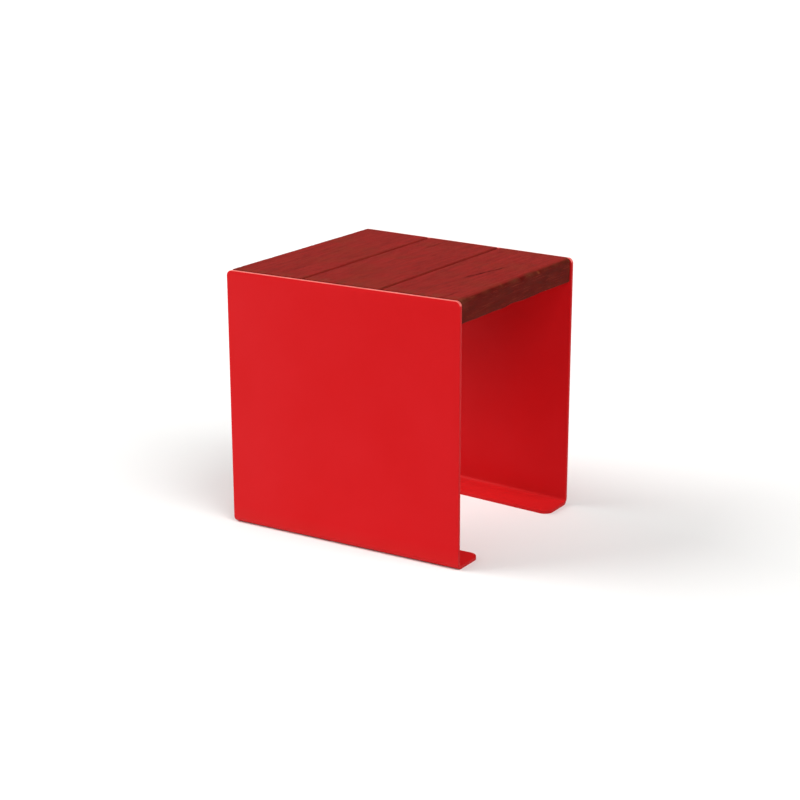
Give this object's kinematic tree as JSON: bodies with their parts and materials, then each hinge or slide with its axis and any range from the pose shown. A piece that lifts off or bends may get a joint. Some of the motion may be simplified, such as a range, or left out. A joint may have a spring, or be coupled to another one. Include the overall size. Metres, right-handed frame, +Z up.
{
  "type": "street seat",
  "caption": "Cube-shaped street seat for one person: folded steel side panels with inward feet, timber planks between them and a slightly wedge-shaped plan.",
  "frame": {"origin": "on the ground under the middle of the seat", "axes": "+X across the planks towards the narrow end, +Y along the planks from the front panel to the rear panel, +Z up"},
  "size_m": [0.445, 0.415, 0.452],
  "materials": {
    "coated_steel": "bright red satin powder coat",
    "stained_timber": "dark red stain on weathered planks",
    "zinc_plated_steel": "zinc plated"
  },
  "bodies": {
    "root": {"side_panel_front": "coated_steel", "side_panel_rear": "coated_steel", "plank_left": "stained_timber", "plank_middle": "stained_timber", "plank_right": "stained_timber", "support_rail_front": "coated_steel", "support_rail_rear": "coated_steel", "weld_beads_front": "coated_steel", "weld_beads_rear": "coated_steel", "coach_screws_left": "zinc_plated_steel", "coach_screws_middle": "zinc_plated_steel", "coach_screws_right": "zinc_plated_steel", "washers_left": "zinc_plated_steel", "washers_middle": "zinc_plated_steel", "washers_right": "zinc_plated_steel"}
  },
  "joints": []
}
